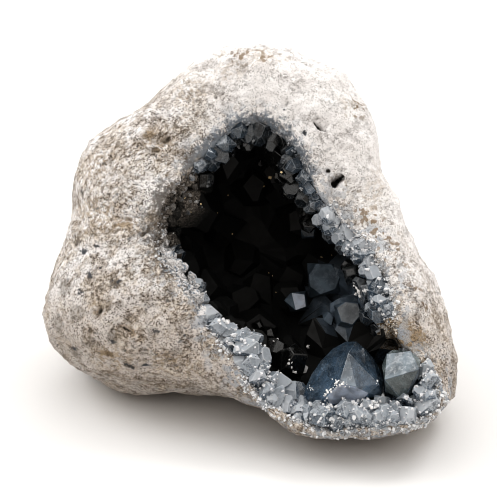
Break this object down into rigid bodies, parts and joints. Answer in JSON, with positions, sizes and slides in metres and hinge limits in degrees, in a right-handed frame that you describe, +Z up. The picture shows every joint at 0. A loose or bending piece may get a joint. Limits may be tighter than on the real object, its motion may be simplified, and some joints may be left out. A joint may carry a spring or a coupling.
{
  "type": "celestite geode",
  "caption": "Hollow nodule of pale sandy rock, open at the front, its cavity lined with a crust of blue celestite crystals.",
  "frame": {"origin": "on the ground, under the middle of the geode's bounding box", "axes": "+X to the right of a viewer who looks into the mouth, along the longest extent; +Y from that viewer into the cavity; +Z up"},
  "size_m": [0.1542, 0.139, 0.1285],
  "materials": {
    "matrix_rock": "matte",
    "celestite": "gloss"
  },
  "bodies": {
    "root": {"matrix_shell": "matrix_rock", "crystal_crust": "celestite"}
  },
  "joints": []
}
